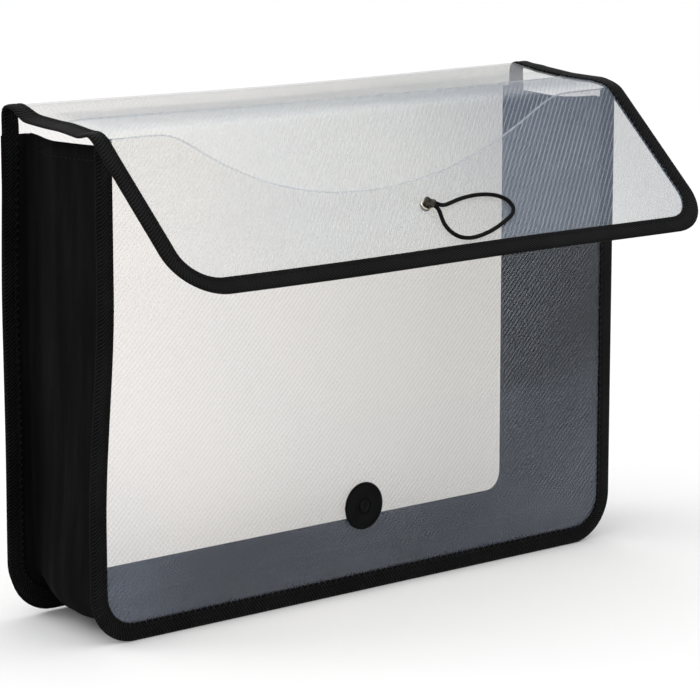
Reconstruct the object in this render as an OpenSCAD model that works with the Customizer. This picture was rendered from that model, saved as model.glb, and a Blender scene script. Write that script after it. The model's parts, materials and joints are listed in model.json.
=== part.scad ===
// Expanding document case: clear ribbed film panels, a folded black fabric gusset,
// taped and stitched edges, and a flap that closes with an elastic loop round a button.
// Origin: middle of the front panel's bottom edge. +X right, +Y to the back, +Z up.

/* [Case] */
// Width over the edge tapes
case_w = 350; // [320:1:380]
// Height of the front panel
front_h = 250; // [220:1:280]
// Height of the fold between back and top
back_fold_h = 258; // [256:0.5:260]
// Distance between the middles of the front and back films
case_d = 72.5; // [60:0.5:80]
// Radius of the panels' bottom corners
corner_r = 26; // [20:1:32]

/* [Film] */
// Thickness of the clear film
film_t = 0.8; // [0.5:0.1:1]
// Half width of the thumb cut in the front panel's top edge
scoop_half_w = 127; // [100:1:135]
// Depth of the thumb cut
scoop_depth = 39.5; // [20:0.5:50]

/* [Flap] */
// Length of the flap from its fold to its taped edge
flap_l = 101.5; // [90:0.5:110]
// Angle of the open flap below the horizontal
flap_drop = 42.3; // [30:0.1:60]
// Radius of the flap's outer corners
flap_corner_r = 27; // [20:1:32]
// Distance of the flap's fold in front of the front film
flap_fold_y = 3.5; // [3:0.1:6]
// Height of the flap's fold
flap_fold_h = 252.5; // [252:0.1:254]

/* [Tape] */
// Visible width of the folded edge tape
tape_w = 9.4; // [8:0.1:12]
// Thickness of the tape
tape_t = 0.6; // [0.4:0.1:0.8]
// Width of a stitch line
stitch_w = 0.6; // [0.4:0.1:1]
// Distance from a stitch line to the tape's inner edge
stitch_inset = 1.8; // [1:0.1:3]

/* [Gusset] */
// Thickness of the gusset fabric
fabric_t = 0.5; // [0.3:0.1:0.8]
// Distance of the gusset's walls inside the panels' outer edges
gusset_inset = 13; // [10:0.1:18]
// Height of the gusset's top edge
gusset_h = 245.5; // [230:0.5:248]
// Outer radius of the gusset's bottom corners
gusset_r = 10; // [6:1:14]
// Height of the hem folded over the gusset's top edge
hem_h = 9; // [6:0.5:12]

/* [Closure] */
// Diameter of the closing button
button_d = 25; // [20:1:30]
// Thickness of the button's plate
button_t = 1.7; // [1.2:0.1:2.5]
// Diameter of the neck that the elastic winds round
neck_d = 9; // [8:0.5:12]
// Height of the neck
neck_h = 1.4; // [1:0.1:2]
// Sideways place of the button
button_x = -4; // [-10:1:10]
// Height of the button's centre
button_z = 46; // [40:1:60]
// Diameter of the rivet's shank
rivet_d = 3.9; // [3:0.1:5]
// Running clearance between the rivet's shank and the button, on the radius
rivet_play = 0.05; // [0.02:0.01:0.1]
// Diameter of the washer behind the film
washer_d = 10; // [8:0.5:12]
// Diameter of the eyelet's flanges
eyelet_d = 6; // [5:0.5:8]
// Sideways place of the eyelet
eyelet_x = -5; // [-10:1:10]
// Distance of the eyelet from the flap's fold
eyelet_v = 65; // [55:1:70]
// Diameter of the elastic cord
elastic_d = 2.1; // [1.8:0.1:2.5]

/* [Hidden] */
$fn = 96;

half_w = case_w / 2;
film_half = film_t / 2;
seat_gap = 0.05;            // slip between the front film and the gusset's front flange
hinge_gap = 1.6;            // clear length of film on each side of a fold
film_gap = 0.9;             // the same for the bare film, which is thinner
stitch_proud = 0.12;        // how far thread stands above its tape
edge_wrap = tape_t;         // tape that wraps round the film's cut edge
cut = 1;                    // overshoot of cutting shapes
least_radius = 1;           // smallest corner that an inset leaves
slope_gap = 0.4;            // extra room between the back tape and the sloping top
seam_end_gap = 2;           // length of tape left bare above a seam's ends
tape_colour = [0.06, 0.06, 0.06];
thread_colour = [0.12, 0.12, 0.12];
fabric_colour = [0.08, 0.08, 0.09];
film_colour = [0.88, 0.90, 0.92, 0.45];

// The top panel's side view, from the back fold to the flap's fold, as [y, z]
top_profile = [
    [case_d, back_fold_h],
    [52, 254.4],
    [32, 253.2],
    [8, 253.4],
    [-flap_fold_y, flap_fold_h]
];

// The elastic's centre line, as [x, distance from the flap's fold, height over the film's middle].
// It leaves the crimp beside its own end, goes round the loop and comes back into the crimp.
elastic_route = [
    [-2.5, 65.5, 3.2],
    [-0.9, 66.7, 3.1],
    [1, 67.5, 2.8],
    [3.2, 67.7, 2.3],
    [6, 67.2, 1.8],
    [10, 66.2, 1.5],
    [15, 65, 1.5],
    [21, 64, 1.5],
    [27, 63.5, 1.5],
    [33, 63.6, 1.5],
    [39, 64.6, 1.5],
    [43.6, 66.6, 1.5],
    [46.4, 69.6, 1.5],
    [46.9, 73.2, 1.5],
    [45.2, 76.6, 1.5],
    [41, 79.6, 1.5],
    [35, 82.4, 1.5],
    [28, 85.2, 1.5],
    [21, 87.4, 1.5],
    [14, 88.9, 1.5],
    [8, 89.3, 1.5],
    [3.2, 88.4, 1.5],
    [-0.2, 86, 1.5],
    [-2, 82.6, 1.5],
    [-2.4, 78.6, 1.5],
    [-2, 75, 1.8],
    [-1.6, 72, 2.4],
    [-1.7, 70, 2.8],
    [-2.5, 68.4, 3.1],
    [-3.8, 67.2, 3.2]
];

// ---------------------------------------------------------------- outlines

// Rectangle with its two lower corners rounded, standing on y = 0
module panel_outline(width, height, radius) {
    translate([-width / 2, radius])
        square([width, height - radius]);
    translate([-width / 2 + radius, 0])
        square([width - 2 * radius, height]);
    for (side = [-1, 1])
        translate([side * (width / 2 - radius), radius])
            circle(r = radius);
}

// The same outline moved in from its sides and bottom by inset; the top edge stays at height
module inset_outline(width, height, radius, inset) {
    translate([0, inset])
        panel_outline(width - 2 * inset, height - inset, max(radius - inset, least_radius));
}

// U-shaped strip between two insets of an outline
module edge_strip(width, height, radius, outer, inner) {
    difference() {
        inset_outline(width, height, radius, outer);
        inset_outline(width, height + cut, radius, inner);
    }
}

// An outline drawn in X and Z, thickened from y0 to y1
module upright(y0, y1) {
    translate([0, y1, 0])
        rotate([90, 0, 0])
            linear_extrude(y1 - y0)
                children();
}

// ---------------------------------------------------------------- folded tape

// U-shaped tape round a panel's edges. It spans the layers' thickness from y0 to y1
// and its two faces lie outside them.
module panel_tape(height, y0, y1) {
    difference() {
        upright(y0 - tape_t, y1 + tape_t)
            edge_strip(case_w, height, corner_r, 0, tape_w);
        upright(y0, y1)
            inset_outline(case_w, height + cut, corner_r, edge_wrap);
    }
}

// Stitch line on both faces of a panel's tape
module panel_stitches(height, y0, y1) {
    inner = tape_w - stitch_inset;
    for (face = [y0 - tape_t - stitch_proud, y1 + tape_t])
        upright(face, face + stitch_proud)
            edge_strip(case_w, height, corner_r, inner - stitch_w, inner);
}

// ---------------------------------------------------------------- flat films

front_flange_y = film_half + seat_gap + fabric_t;
back_film_y = case_d - film_half;
back_flange_y = back_film_y - fabric_t;
back_panel_h = back_fold_h - film_gap;
back_tape_h = back_fold_h - hinge_gap - slope_gap;
scoop_r = (scoop_half_w * scoop_half_w + scoop_depth * scoop_depth) / (2 * scoop_depth);

module scoop() {
    translate([0, front_h - scoop_depth + scoop_r])
        circle(r = scoop_r, $fn = 180);
}

module front_panel() {
    color(film_colour)
        difference() {
            upright(-film_half, film_half)
                difference() {
                    inset_outline(case_w, front_h, corner_r, edge_wrap);
                    scoop();
                }
            rivet_axis()
                translate([0, 0, -cut])
                    cylinder(d = rivet_d + 4 * rivet_play, h = film_t + 2 * cut);
        }
}

module back_panel() {
    color(film_colour)
        upright(back_film_y, back_film_y + film_t)
            inset_outline(case_w, back_panel_h, corner_r, edge_wrap);
}

// ---------------------------------------------------------------- top

// Unit normal of a profile's segment i, pointing up
function segment_normal(path, i) =
    let (d = path[i + 1] - path[i])
    [d[1], -d[0]] / norm(d);

// Point i of a profile moved along its mitred normal
function offset_point(path, i, distance) =
    let (
        last = len(path) - 1,
        a = segment_normal(path, max(i - 1, 0)),
        b = segment_normal(path, min(i, last - 1)),
        mitre = (a + b) / norm(a + b)
    )
    path[i] + mitre * distance / (mitre * a);

// A profile with gap taken off both of its ends
function shortened(path, gap) =
    let (
        last = len(path) - 1,
        first_way = (path[1] - path[0]) / norm(path[1] - path[0]),
        last_way = (path[last - 1] - path[last]) / norm(path[last - 1] - path[last])
    )
    [
        for (i = [0 : last])
            i == 0 ? path[0] + first_way * gap
            : i == last ? path[last] + last_way * gap
            : path[i]
    ];

// Closed outline between two heights over a profile
function band(path, low, high) =
    concat(
        [for (i = [0 : len(path) - 1]) offset_point(path, i, low)],
        [for (i = [len(path) - 1 : -1 : 0]) offset_point(path, i, high)]
    );

// A profile's band drawn in Y and Z, from x0 to x1
module along_x(x0, x1, outline) {
    translate([x0, 0, 0])
        rotate([90, 0, 90])
            linear_extrude(x1 - x0)
                polygon(outline);
}

module top_panel() {
    reach = half_w - edge_wrap;
    color(film_colour)
        along_x(-reach, reach, band(shortened(top_profile, film_gap), -film_half, film_half));
}

module top_tape(side) {
    path = shortened(top_profile, hinge_gap);
    outer = film_half + tape_t;
    inner_x = half_w - tape_w;
    color(tape_colour)
        mirror([side < 0 ? 1 : 0, 0, 0])
            difference() {
                along_x(inner_x, half_w, band(path, -outer, outer));
                along_x(inner_x - cut, half_w - edge_wrap, band(top_profile, -film_half, film_half));
            }
}

module top_binding_left() {
    top_tape(-1);
}

module top_binding_right() {
    top_tape(1);
}

module top_stitching() {
    path = shortened(top_profile, 2 * hinge_gap);
    face = film_half + tape_t;
    line_x = half_w - tape_w + stitch_inset;
    color(thread_colour)
        for (side = [0, 1], low = [-face - stitch_proud, face])
            mirror([side, 0, 0])
                along_x(line_x, line_x + stitch_w, band(path, low, low + stitch_proud));
}

// ---------------------------------------------------------------- flap

eyelet_barrel_d = 4.2;
eyelet_bore_d = 3.2;
eyelet_lip = 0.5;                     // height of the eyelet's flanges over the film
eyelet_bevel = 0.3;

// Places children made flat, with the flap's fold at y = 0, its length along -Y
// and its outer face up
module on_flap() {
    translate([0, -flap_fold_y, flap_fold_h])
        rotate([flap_drop, 0, 0])
            children();
}

// An outline whose height runs from the flap's free edge to its fold, from z0 to z1
module flap_sheet(z0, z1) {
    translate([0, -flap_l, z0])
        linear_extrude(z1 - z0)
            children();
}

module flap_panel() {
    color(film_colour)
        on_flap()
            difference() {
                flap_sheet(-film_half, film_half)
                    inset_outline(case_w, flap_l - film_gap, flap_corner_r, edge_wrap);
                translate([eyelet_x, -eyelet_v, -cut])
                    cylinder(d = eyelet_barrel_d + 4 * rivet_play, h = film_t + 2 * cut);
            }
}

module flap_binding() {
    outer = film_half + tape_t;
    color(tape_colour)
        on_flap()
            difference() {
                flap_sheet(-outer, outer)
                    edge_strip(case_w, flap_l - hinge_gap, flap_corner_r, 0, tape_w);
                flap_sheet(-film_half, film_half)
                    inset_outline(case_w, flap_l + cut, flap_corner_r, edge_wrap);
            }
}

module flap_stitching() {
    face = film_half + tape_t;
    inner = tape_w - stitch_inset;
    color(thread_colour)
        on_flap()
            for (low = [-face - stitch_proud, face])
                flap_sheet(low, low + stitch_proud)
                    edge_strip(case_w, flap_l - 2 * hinge_gap, flap_corner_r, inner - stitch_w, inner);
}

// ---------------------------------------------------------------- gusset

hem_end_gap = 0.5;                    // room between a hem and the flanges' tape
hem_seam_gap = 3;                     // distance from a hem seam's ends to the flanges

// The fabric strip's channel, with its two long edges turned out under the tapes
module gusset() {
    wall = case_w - 2 * gusset_inset;
    color(fabric_colour) {
        upright(film_half + seat_gap, back_film_y)
            difference() {
                translate([0, gusset_inset])
                    panel_outline(wall, gusset_h - gusset_inset, gusset_r);
                translate([0, gusset_inset + fabric_t])
                    panel_outline(wall - 2 * fabric_t, gusset_h - gusset_inset, gusset_r - fabric_t);
            }
        for (low = [film_half + seat_gap, back_flange_y])
            upright(low, low + fabric_t)
                difference() {
                    inset_outline(case_w, gusset_h, corner_r, edge_wrap);
                    translate([0, gusset_inset])
                        panel_outline(wall, gusset_h, gusset_r);
                }
    }
}

// Second layer of fabric folded down inside a side wall's top edge
module gusset_hem(side) {
    inner_x = half_w - gusset_inset - 2 * fabric_t;
    hem_y0 = front_flange_y + tape_t + hem_end_gap;
    hem_y1 = back_flange_y - tape_t - hem_end_gap;
    color(fabric_colour)
        mirror([side < 0 ? 1 : 0, 0, 0])
            translate([inner_x, hem_y0, gusset_h - hem_h])
                cube([fabric_t, hem_y1 - hem_y0, hem_h]);
}

module gusset_hem_left() {
    gusset_hem(-1);
}

module gusset_hem_right() {
    gusset_hem(1);
}

// Hem seams on the outside of both side walls
module gusset_stitching() {
    seam_y0 = front_flange_y + hem_seam_gap;
    seam_y1 = back_flange_y - hem_seam_gap;
    color(thread_colour)
        for (side = [0, 1])
            mirror([side, 0, 0])
                translate([half_w - gusset_inset, seam_y0, gusset_h - hem_h + stitch_inset])
                    cube([stitch_proud, seam_y1 - seam_y0, stitch_w]);
}

// ---------------------------------------------------------------- bindings and seams

module front_binding() {
    color(tape_colour)
        panel_tape(front_h, -film_half, front_flange_y);
}

module back_binding() {
    color(tape_colour)
        panel_tape(back_tape_h, back_flange_y, back_film_y + film_t);
}

module front_stitching() {
    color(thread_colour)
        panel_stitches(front_h - seam_end_gap, -film_half, front_flange_y);
}

module back_stitching() {
    color(thread_colour)
        panel_stitches(back_tape_h - seam_end_gap, back_flange_y, back_film_y + film_t);
}

// ---------------------------------------------------------------- button

face_gap = 0.1;                       // end play between the turning button and its neighbours
rim = 0.5;                            // bevel round the button's plate
rivet_head_d = 7;
rivet_head_t = 0.8;
rivet_head_edge = 0.5;                // height of the rivet head's straight side
rivet_head_bevel = 0.8;               // width of the bevel round the rivet's head
dimple_d = 2;                         // width of the hollow in the rivet's head
dimple_depth = 0.5;
dimple_bevel = 0.3;
recess_play = 0.5;                    // room round the rivet's head
recess_depth = 0.9;                   // hollow in the button's face that takes the rivet's head
button_top = face_gap + neck_h + button_t;
recess_floor = button_top - recess_depth;
washer_t = 0.8;
rivet_tail_t = 0.7;
rivet_tail_d = 6;

// Puts children's +Z along the rivet, out of the front face, with z = 0 on that face
module rivet_axis() {
    translate([button_x, -film_half, button_z])
        rotate([90, 0, 0])
            children();
}

module button_disc() {
    recess_r = rivet_head_d / 2 + recess_play;
    color([0.05, 0.05, 0.05])
        rivet_axis()
            rotate_extrude()
                polygon([
                    [rivet_d / 2 + rivet_play, face_gap],
                    [neck_d / 2, face_gap],
                    [neck_d / 2, face_gap + neck_h],
                    [button_d / 2 - rim, face_gap + neck_h],
                    [button_d / 2, face_gap + neck_h + rim],
                    [button_d / 2, button_top - rim],
                    [button_d / 2 - rim, button_top],
                    [recess_r, button_top],
                    [recess_r, recess_floor],
                    [rivet_d / 2 + rivet_play, recess_floor]
                ]);
}

module button_rivet() {
    tail_z = -film_t - washer_t;
    head_z = recess_floor + face_gap;
    head_top = head_z + rivet_head_t;
    color([0.1, 0.1, 0.1])
        rivet_axis()
            rotate_extrude()
                polygon([
                    [0, tail_z - rivet_tail_t],
                    [rivet_tail_d / 2, tail_z - rivet_tail_t],
                    [rivet_tail_d / 2, tail_z],
                    [rivet_d / 2, tail_z],
                    [rivet_d / 2, head_z],
                    [rivet_head_d / 2, head_z],
                    [rivet_head_d / 2, head_z + rivet_head_edge],
                    [rivet_head_d / 2 - rivet_head_bevel, head_top],
                    [dimple_d / 2, head_top],
                    [dimple_d / 2 - dimple_bevel, head_top - dimple_depth],
                    [0, head_top - dimple_depth]
                ]);
}

module rivet_washer() {
    color([0.12, 0.12, 0.12])
        rivet_axis()
            translate([0, 0, -film_t - washer_t])
                difference() {
                    cylinder(d = washer_d, h = washer_t);
                    translate([0, 0, -cut])
                        cylinder(d = rivet_d + 2 * rivet_play, h = washer_t + 2 * cut);
                }
}

// ---------------------------------------------------------------- elastic closure

// A round metal eyelet set through the flap's film
module flap_eyelet() {
    low = -film_half - eyelet_lip;
    high = film_half + eyelet_lip;
    color([0.72, 0.68, 0.55])
        on_flap()
            translate([eyelet_x, -eyelet_v, 0])
                rotate_extrude()
                    polygon([
                        [eyelet_bore_d / 2, low],
                        [eyelet_d / 2 - eyelet_bevel, low],
                        [eyelet_d / 2, -film_half],
                        [eyelet_barrel_d / 2, -film_half],
                        [eyelet_barrel_d / 2, film_half],
                        [eyelet_d / 2, film_half],
                        [eyelet_d / 2 - eyelet_bevel, high],
                        [eyelet_bore_d / 2, high]
                    ]);
}

crimp_d = 4.4;
crimp_l = 3.4;                        // length of the crimp past the eyelet's centre
crimp_lift = 3.2;                     // height of the crimp's centre over the film's middle
crimp_yaw = -38;                      // way that the crimp points, from +X towards the free edge
crimp_tail_d = 5;
crimp_tail_t = 0.8;

// Metal crimp that holds both ends of the elastic. Its stem turns in the eyelet's bore
// and is headed over behind it.
module elastic_crimp() {
    stem_z = -film_half - eyelet_lip - face_gap;
    color([0.30, 0.28, 0.24])
        on_flap()
            translate([eyelet_x, -eyelet_v, 0]) {
                translate([0, 0, stem_z - crimp_tail_t])
                    cylinder(d = crimp_tail_d, h = crimp_tail_t);
                translate([0, 0, stem_z])
                    cylinder(d = eyelet_bore_d - 2 * rivet_play, h = crimp_lift - stem_z);
                translate([0, 0, crimp_lift])
                    rotate([0, 90, crimp_yaw])
                        translate([0, 0, -crimp_d / 2])
                            cylinder(d = crimp_d, h = crimp_l + crimp_d / 2);
            }
}

cord_sides = 8;

// Ring of points round a route's point i
function ring(p, i, r) =
    let (
        last = len(p) - 1,
        way = p[min(i + 1, last)] - p[max(i - 1, 0)],
        ahead = way / norm(way),
        across = cross([0, 0, 1], ahead),
        side = across / norm(across),
        up = cross(ahead, side)
    )
    [
        for (k = [0 : cord_sides - 1])
            let (angle = 360 * k / cord_sides)
            p[i] + r * (cos(angle) * side + sin(angle) * up)
    ];

module cord_tube(p, r) {
    count = len(p);
    points = [for (i = [0 : count - 1]) each ring(p, i, r)];
    sides = [
        for (i = [0 : count - 2], k = [0 : cord_sides - 1])
            let (next = (k + 1) % cord_sides)
            [
                i * cord_sides + k,
                (i + 1) * cord_sides + k,
                (i + 1) * cord_sides + next,
                i * cord_sides + next
            ]
    ];
    split = [
        for (f = sides)
            each [[f[0], f[1], f[2]], [f[0], f[2], f[3]]]
    ];
    first_cap = [for (k = [0 : cord_sides - 1]) k];
    last_cap = [for (k = [cord_sides - 1 : -1 : 0]) (count - 1) * cord_sides + k];
    polyhedron(points = points, faces = concat(split, [first_cap], [last_cap]));
}

module elastic_loop() {
    route = [for (q = elastic_route) [q[0], -q[1], q[2]]];
    color([0.05, 0.05, 0.05])
        on_flap()
            cord_tube(route, elastic_d / 2);
}

// ---------------------------------------------------------------- output

front_panel();
back_panel();
top_panel();
flap_panel();
gusset();
gusset_hem_left();
gusset_hem_right();
gusset_stitching();
front_binding();
back_binding();
top_binding_left();
top_binding_right();
flap_binding();
front_stitching();
back_stitching();
top_stitching();
flap_stitching();
button_disc();
button_rivet();
rivet_washer();
flap_eyelet();
elastic_loop();
elastic_crimp();
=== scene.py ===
import json
import math

import bpy
import numpy as np
from mathutils import Matrix, Vector


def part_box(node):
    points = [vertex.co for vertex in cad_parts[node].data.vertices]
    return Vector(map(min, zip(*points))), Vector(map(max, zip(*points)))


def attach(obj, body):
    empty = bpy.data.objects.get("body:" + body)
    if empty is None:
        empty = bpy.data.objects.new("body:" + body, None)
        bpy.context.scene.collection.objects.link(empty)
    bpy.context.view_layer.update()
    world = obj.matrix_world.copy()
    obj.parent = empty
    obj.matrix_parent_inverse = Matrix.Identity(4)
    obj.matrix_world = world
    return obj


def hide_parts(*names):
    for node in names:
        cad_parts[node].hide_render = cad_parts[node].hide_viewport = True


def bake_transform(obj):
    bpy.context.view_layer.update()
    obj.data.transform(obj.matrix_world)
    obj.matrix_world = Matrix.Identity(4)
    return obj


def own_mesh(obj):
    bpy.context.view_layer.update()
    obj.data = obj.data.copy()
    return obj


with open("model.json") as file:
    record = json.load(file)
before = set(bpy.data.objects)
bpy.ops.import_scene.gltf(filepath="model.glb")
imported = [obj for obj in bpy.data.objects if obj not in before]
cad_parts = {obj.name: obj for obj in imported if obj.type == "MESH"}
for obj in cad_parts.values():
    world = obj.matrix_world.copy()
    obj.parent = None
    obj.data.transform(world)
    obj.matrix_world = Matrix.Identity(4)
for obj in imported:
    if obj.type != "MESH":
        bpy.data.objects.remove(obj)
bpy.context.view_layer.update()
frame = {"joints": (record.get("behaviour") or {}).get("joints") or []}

# ------------------------------------------------------------------ dimensions, in metres

JOINTS = {joint["name"]: joint for joint in frame["joints"]}
TOP_FOLD = Vector(JOINTS["top_fold"]["pos_m"])
FLAP_FOLD = Vector(JOINTS["flap_fold"]["pos_m"])
EYELET = Vector(JOINTS["elastic_swivel"]["pos_m"])
FLAP_OUT = Vector(JOINTS["elastic_swivel"]["axis"])
FLAP_DOWN = Vector((1, 0, 0)).cross(FLAP_OUT)

HALF_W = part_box("front_binding")[1].x
FRONT_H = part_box("front_binding")[1].z
FILM_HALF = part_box("front_panel")[1].y
BACK_Y = TOP_FOLD.y
FLAP_TAPE_BULK = 0.0009     # what the tape's thickness adds to the flap's box
FLAP_L = (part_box("flap_binding")[0].y - FLAP_FOLD.y) / FLAP_DOWN.y - FLAP_TAPE_BULK

CORNER_R = 0.026            # bottom corners of the front and back panels
FLAP_CORNER_R = 0.027
TAPE_T = 0.0006
FABRIC_T = 0.0005
SEAM_W = 0.0073             # the seam's distance from the tape's folded edge
FLANGE_FRONT_Y = 0.0007     # middle of the gusset's front flange
FLANGE_BACK_Y = 0.07185
GUSSET_H = 0.2455
HEM_H = 0.009
HOLE_R = 0.0021             # of the holes for the eyelet and the rivet
SCOOP_HALF_W = 0.127        # thumb cut in the front panel's top edge
SCOOP_DEPTH = 0.0395
BUTTON = Vector(JOINTS["button_turn"]["pos_m"])

# Creases of the top, from the back fold to the flap's fold, as (y, z)
TOP_CREASES = [(0.052, 0.2544), (0.032, 0.2532), (0.008, 0.2534)]

# The elastic's route, as (x, distance from the flap's fold, height over the film), repeated
# from the CAD source
ELASTIC_ROUTE = [
    (-0.0025, 0.0655, 0.0032), (-0.0009, 0.0667, 0.0031), (0.001, 0.0675, 0.0028),
    (0.0032, 0.0677, 0.0023), (0.006, 0.0672, 0.0018), (0.010, 0.0662, 0.0015),
    (0.015, 0.065, 0.0015), (0.021, 0.064, 0.0015), (0.027, 0.0635, 0.0015),
    (0.033, 0.0636, 0.0015), (0.039, 0.0646, 0.0015), (0.0436, 0.0666, 0.0015),
    (0.0464, 0.0696, 0.0015), (0.0469, 0.0732, 0.0015), (0.0452, 0.0766, 0.0015),
    (0.041, 0.0796, 0.0015), (0.035, 0.0824, 0.0015), (0.028, 0.0852, 0.0015),
    (0.021, 0.0874, 0.0015), (0.014, 0.0889, 0.0015), (0.008, 0.0893, 0.0015),
    (0.0032, 0.0884, 0.0015), (-0.0002, 0.086, 0.0015), (-0.002, 0.0826, 0.0015),
    (-0.0024, 0.0786, 0.0015), (-0.002, 0.075, 0.0018), (-0.0016, 0.072, 0.0024),
    (-0.0017, 0.070, 0.0028), (-0.0025, 0.0684, 0.0031), (-0.0038, 0.0672, 0.0032),
]
ELASTIC_D = 0.0021
CRIMP_YAW = math.radians(-38)
CRIMP_LIFT = 0.0032


# ------------------------------------------------------------------ camera

CAMERA_PLACE = (-1.0633, -1.2645, 0.4551)
CAMERA_TURN = (78.775, 0, -39.767)      # degrees
CAMERA_LENS = 168.43


def make_camera():
    data = bpy.data.cameras.new("camera")
    data.lens = CAMERA_LENS
    data.sensor_width = 36
    data.clip_end = 60
    camera = bpy.data.objects.new("camera", data)
    camera.location = CAMERA_PLACE
    camera.rotation_euler = [math.radians(angle) for angle in CAMERA_TURN]
    bpy.context.scene.collection.objects.link(camera)
    bpy.context.scene.camera = camera


make_camera()


# ------------------------------------------------------------------ mesh helpers

def mesh_object(name, points, faces, uvs=None, sharp=50):
    """A smooth mesh object from points and faces, with one UV pair for each point."""
    mesh = bpy.data.meshes.new(name)
    mesh.from_pydata([tuple(p) for p in points], [], faces)
    if uvs is not None:
        layer = mesh.uv_layers.new(name="along")
        corner = np.zeros(len(mesh.loops), np.int64)
        mesh.loops.foreach_get("vertex_index", corner)
        layer.data.foreach_set("uv", np.asarray(uvs, np.float32)[corner].ravel())
    mesh.polygons.foreach_set("use_smooth", [True] * len(mesh.polygons))
    mesh.set_sharp_from_angle(angle=math.radians(sharp))
    mesh.update()
    obj = bpy.data.objects.new(name, mesh)
    bpy.context.scene.collection.objects.link(obj)
    return obj


def grid_faces(rows, columns, offset=0, wrap=False, flip=False):
    """Quads over a grid of points. wrap joins the last column to the first."""
    faces = []
    for i in range(rows - 1):
        for k in range(columns if wrap else columns - 1):
            n = (k + 1) % columns
            face = (i * columns + k, i * columns + n, (i + 1) * columns + n, (i + 1) * columns + k)
            face = tuple(offset + v for v in face)
            faces.append(face[::-1] if flip else face)
    return faces


def tube_faces(rings, sides, offset=0):
    """Quads round a row of rings, with both ends closed."""
    first = tuple(offset + k for k in reversed(range(sides)))
    last = tuple(offset + (rings - 1) * sides + k for k in range(sides))
    return [first, last] + grid_faces(rings, sides, offset, wrap=True)


def closed_film(name, outer, inner, uvs, bright_rows=0):
    """A thin closed sheet between two grids of points. Also gives which faces are its cut edge
    or in its last rows, and so whiter."""
    rows, columns = outer.shape[:2]
    count = rows * columns
    faces = grid_faces(rows, columns) + grid_faces(rows, columns, count, flip=True)
    rim = [i * columns for i in range(rows)]
    rim += [(rows - 1) * columns + k for k in range(1, columns)]
    rim += [i * columns + columns - 1 for i in range(rows - 2, -1, -1)]
    rim += list(range(columns - 2, 0, -1))
    for a, b in zip(rim, rim[1:] + rim[:1]):
        faces.append((a, b, b + count, a + count))
    points = np.concatenate([outer.reshape(-1, 3), inner.reshape(-1, 3)])
    flat = uvs.reshape(-1, 2)
    obj = mesh_object(name, points, faces, np.concatenate([flat, flat]))
    side = (rows - 1) * (columns - 1)
    bright = bright_rows * (columns - 1)
    outward(obj)
    n = np.arange(len(faces))
    return obj, ((n >= side - bright) & (n < side)) | (n >= 2 * side - bright)


def outward(obj):
    """Turns a closed mesh's faces outward."""
    mesh = obj.data
    mesh.calc_loop_triangles()
    at = np.array([v.co for v in mesh.vertices])
    tri = np.array([t.vertices for t in mesh.loop_triangles])
    a, b, c = at[tri[:, 0]], at[tri[:, 1]], at[tri[:, 2]]
    if np.einsum("ij,ij->i", a, np.cross(b, c)).sum() < 0:
        mesh.flip_normals()


def distances(points):
    """How far along a line each of its points is."""
    return np.concatenate([[0], np.cumsum(np.linalg.norm(np.diff(points, axis=0), axis=1))])


def smoothstep(low, high, value):
    t = np.clip((np.asarray(value, float) - low) / (high - low), 0, 1)
    return t * t * (3 - 2 * t)


# ------------------------------------------------------------------ the sheet's side view

def rounded_path(corners, fillets, step):
    """Points along a polyline in (y, z) with its inner corners rounded."""
    path = [np.array(corners[0])]

    def go_to(end):
        start = path[-1]
        pieces = max(int(np.linalg.norm(end - start) / step), 1)
        path.extend(start + (end - start) * k / pieces for k in range(1, pieces + 1))

    for back, here, ahead, size in zip(corners, corners[1:], corners[2:], fillets):
        here = np.array(here)
        to_back, to_ahead = np.array(back) - here, np.array(ahead) - here
        first = here + to_back / np.linalg.norm(to_back) * size
        last = here + to_ahead / np.linalg.norm(to_ahead) * size
        go_to(first)
        path.extend(curve_point(first, here, last, k / 8) for k in range(1, 9))
    go_to(np.array(corners[-1]))
    return np.array(path)


def curve_point(a, b, c, t):
    """A point of the quadratic curve from a to c, which heads for b."""
    return (1 - t) ** 2 * a + 2 * t * (1 - t) * b + t * t * c


FLAP_EDGE = FLAP_FOLD + FLAP_DOWN * FLAP_L
PROFILE = rounded_path(
    [(BACK_Y, 0), (BACK_Y, TOP_FOLD.z)] + TOP_CREASES
    + [(FLAP_FOLD.y, FLAP_FOLD.z), (FLAP_EDGE.y, FLAP_EDGE.z)],
    fillets=[0.0055, 0.0022, 0.0022, 0.0022, 0.005],
    step=0.005,
)
ALONG = distances(PROFILE)
LENGTH = ALONG[-1]
DIRECTION = np.gradient(PROFILE, ALONG, axis=0)
DIRECTION /= np.linalg.norm(DIRECTION, axis=1)[:, None]
SPLIT = float(np.interp(-TOP_CREASES[1][0], -PROFILE[:, 0], ALONG))
FLAP_START = LENGTH - FLAP_L
SPINE_START = 0.262          # where the back fold ends, along the sheet

# How far the limp sheet stands off its flat shape
TWIST = 0.0007               # the top's and the flap's, half of it at each end
FLAP_BULGE = 0.0005
SPINE_SAG = 0.0006
BACK_SLACK = 0.0005
LEFT_DROOP = 0.0032          # of the spine's left end
RIGHT_LIFT = 0.0012
END_REACH = 0.016            # how far in from the ends these two reach
UPPER_LEFT_IN = 0.0022       # how far the back's left corners stand off square
UPPER_LEFT_UP = 0.0026
LOWER_LEFT_UP = 0.0042


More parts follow.
